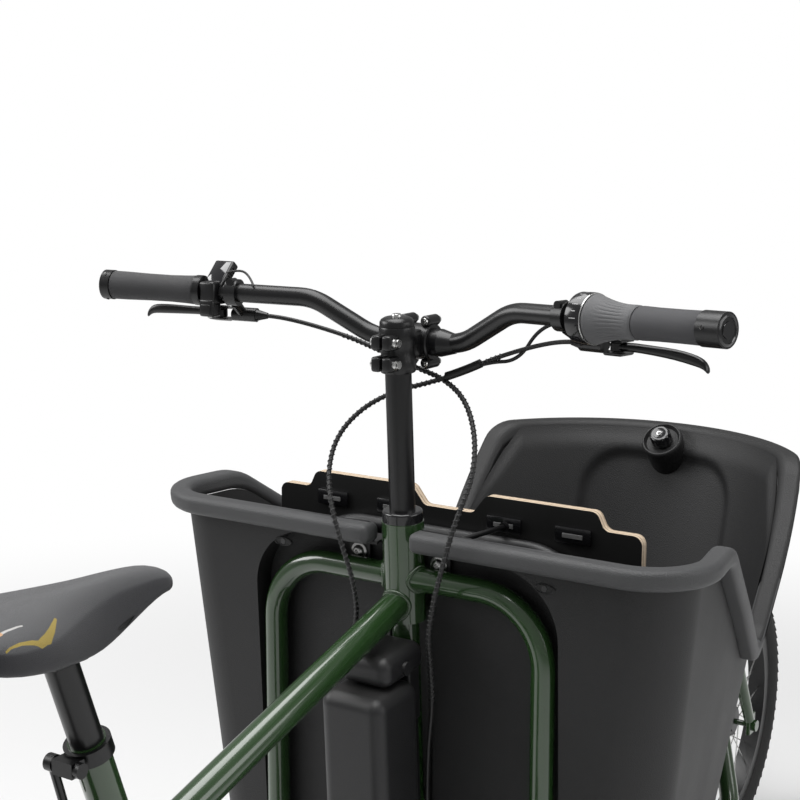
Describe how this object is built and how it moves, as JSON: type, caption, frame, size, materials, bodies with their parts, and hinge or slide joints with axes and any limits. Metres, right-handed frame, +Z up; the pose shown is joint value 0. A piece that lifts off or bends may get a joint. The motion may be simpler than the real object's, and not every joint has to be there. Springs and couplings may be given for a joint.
{
  "type": "cargo bicycle",
  "caption": "Two-wheeled front-box cargo bicycle with upright steering column, hooped frame, open plastic tub, bench, centre stand and electric drive.",
  "frame": {"origin": "centre of the footprint on the ground", "axes": "+X forward, +Y to the rider's left, +Z up"},
  "size_m": [2.471, 0.8086, 1.1326],
  "materials": {
    "frame_paint": "gloss dark green",
    "motor_case": "satin black cast",
    "bare_steel": "bright",
    "black_gloss": "gloss black",
    "black_metal": "satin black anodised",
    "guard_plastic": "matte black",
    "box_plastic": "textured charcoal",
    "lip_plastic": "textured grey",
    "black_steel": "black powder coat",
    "ply_board": "black faced plywood",
    "grip_rubber": "matte grey",
    "hub_metal": "satin",
    "tyre_rubber": "matte",
    "belt_rubber": "matte black",
    "pedal_plastic": "matte black",
    "saddle_cover": "soft synthetic cover",
    "battery_case": "satin black",
    "hose_rubber": "matte black"
  },
  "bodies": {
    "frame": {"head_tube": "frame_paint", "column_housing": "frame_paint", "main_tube": "frame_paint", "drive_unit": "motor_case", "cargo_hoop": "frame_paint", "lower_frame": "frame_paint", "front_head_tube": "frame_paint", "seat_tube": "frame_paint", "rear_stays": "frame_paint", "rear_axle": "bare_steel", "headset_bearings": "black_gloss", "seat_collar": "black_metal", "rear_guard": "guard_plastic", "rear_caliper": "black_metal", "box_tub": "box_plastic", "box_lip": "lip_plastic", "box_fixings": "bare_steel", "bench_loop": "black_steel", "backrest": "ply_board", "belt_brackets": "black_gloss", "drive_belt": "belt_rubber", "battery_cradle": "battery_case", "brake_hoses": "hose_rubber"},
    "steering": {"column_tube": "black_metal", "stem": "black_metal", "stem_bolts": "bare_steel", "handlebar": "black_metal", "grip_left": "grip_rubber", "grip_right": "grip_rubber", "grip_clamps": "black_metal", "shifter_body": "black_gloss", "brake_bodies": "black_metal", "display": "black_gloss", "steering_arm": "black_steel"},
    "lever_left": {"brake_lever_left": "black_metal"},
    "lever_right": {"brake_lever_right": "black_metal"},
    "twist_grip": {"shift_twist": "grip_rubber"},
    "rod": {"tie_rod": "black_steel"},
    "front_fork": {"fork": "frame_paint", "front_guard": "guard_plastic", "front_caliper": "black_metal"},
    "front_wheel": {"front_tyre": "tyre_rubber", "front_rim": "black_metal", "front_hub": "hub_metal", "front_spokes": "bare_steel"},
    "rear_wheel": {"rear_tyre": "tyre_rubber", "rear_rim": "black_metal", "rear_hub": "hub_metal", "rear_spokes": "bare_steel"},
    "rear_pulley": {"belt_pulley": "bare_steel"},
    "crankset": {"cranks": "black_metal"},
    "left_pedal": {"pedal_left": "pedal_plastic"},
    "right_pedal": {"pedal_right": "pedal_plastic"},
    "stand": {"centre_stand": "black_steel"},
    "seat": {"seatpost": "black_metal", "saddle": "saddle_cover"},
    "quick_lever": {"seat_lever": "black_metal"},
    "bench": {"bench_seat": "ply_board"},
    "wall_knob": {"knob": "black_gloss"},
    "battery_pack": {"battery": "battery_case"}
  },
  "joints": [
    {"name": "steer", "type": "hinge", "parent": "frame", "child": "steering", "pos_m": [-0.0775, 0, 1.08], "axis": [-0.0541, 0, 0.9985], "range_deg": [-38, 38], "deforming": ["brake_hoses"]},
    {"name": "fork_turn", "type": "hinge", "parent": "frame", "child": "front_fork", "pos_m": [0.93518, 0, 0.253], "axis": [-0.309, 0, 0.9511], "range_deg": [-38, 38]},
    {"name": "rod_pivot", "type": "hinge", "parent": "steering", "child": "rod", "pos_m": [-0.03121, 0.046, 0.22525], "axis": [-0.0541, 0, 0.9985], "range_deg": [-38, 38]},
    {"name": "front_wheel_spin", "type": "hinge", "parent": "front_fork", "child": "front_wheel", "pos_m": [0.9825, 0, 0.253], "axis": [0, 1, 0], "continuous": true},
    {"name": "rear_wheel_spin", "type": "hinge", "parent": "frame", "child": "rear_wheel", "pos_m": [-0.8835, 0, 0.335], "axis": [0, 1, 0], "continuous": true},
    {"name": "crank_spin", "type": "hinge", "parent": "frame", "child": "crankset", "pos_m": [-0.4135, 0, 0.29], "axis": [0, 1, 0], "continuous": true},
    {"name": "rear_pulley_spin", "type": "hinge", "parent": "frame", "child": "rear_pulley", "pos_m": [-0.8835, 0, 0.335], "axis": [0, 1, 0], "continuous": true},
    {"name": "pedal_left_spin", "type": "hinge", "parent": "crankset", "child": "left_pedal", "pos_m": [-0.24855, 0.078, 0.24887], "axis": [0, 1, 0], "continuous": true},
    {"name": "pedal_right_spin", "type": "hinge", "parent": "crankset", "child": "right_pedal", "pos_m": [-0.57845, -0.078, 0.33113], "axis": [0, 1, 0], "continuous": true},
    {"name": "brake_left", "type": "hinge", "parent": "steering", "child": "lever_left", "pos_m": [-0.05935, 0.26703, 1.06956], "axis": [0, 0, 1], "range_deg": [0, 11], "stiffness_Nm_per_rad": 2},
    {"name": "brake_right", "type": "hinge", "parent": "steering", "child": "lever_right", "pos_m": [-0.04947, -0.25606, 1.06724], "axis": [0, 0, -1], "range_deg": [0, 11], "stiffness_Nm_per_rad": 2},
    {"name": "shift", "type": "hinge", "parent": "steering", "child": "twist_grip", "pos_m": [-0.1175, -0.4, 1.102], "axis": [0.2368, 0.9713, -0.0241], "range_deg": [-60, 60]},
    {"name": "stand_fold", "type": "hinge", "parent": "frame", "child": "stand", "pos_m": [0.0725, 0, 0.234], "axis": [0, 1, 0], "range_deg": [0, 95]},
    {"name": "seat_height", "type": "slide", "parent": "frame", "child": "seat", "axis": [-0.3256, 0, 0.9455], "range_m": [-0.078, 0.08]},
    {"name": "seat_clamp", "type": "hinge", "parent": "frame", "child": "quick_lever", "pos_m": [-0.60015, 0, 0.74608], "axis": [0, 1, 0], "range_deg": [0, 130]},
    {"name": "bench_fold", "type": "hinge", "parent": "frame", "child": "bench", "pos_m": [0.0545, 0, 0.554], "axis": [0, -1, 0], "range_deg": [0, 80]},
    {"name": "knob_turn", "type": "hinge", "parent": "frame", "child": "wall_knob", "pos_m": [0.6825, 0, 0.81], "axis": [0.682, 0, -0.7314], "range_deg": [0, 90]},
    {"name": "battery_release", "type": "slide", "parent": "frame", "child": "battery_pack", "axis": [-0.9985, 0, -0.0541], "range_m": [0, 0.12]}
  ],
  "couplings": [
    {"joint": "fork_turn", "follows": "steer", "ratio": 1},
    {"joint": "rod_pivot", "follows": "steer", "ratio": -1},
    {"joint": "rear_pulley_spin", "follows": "crank_spin", "ratio": 2.037}
  ]
}
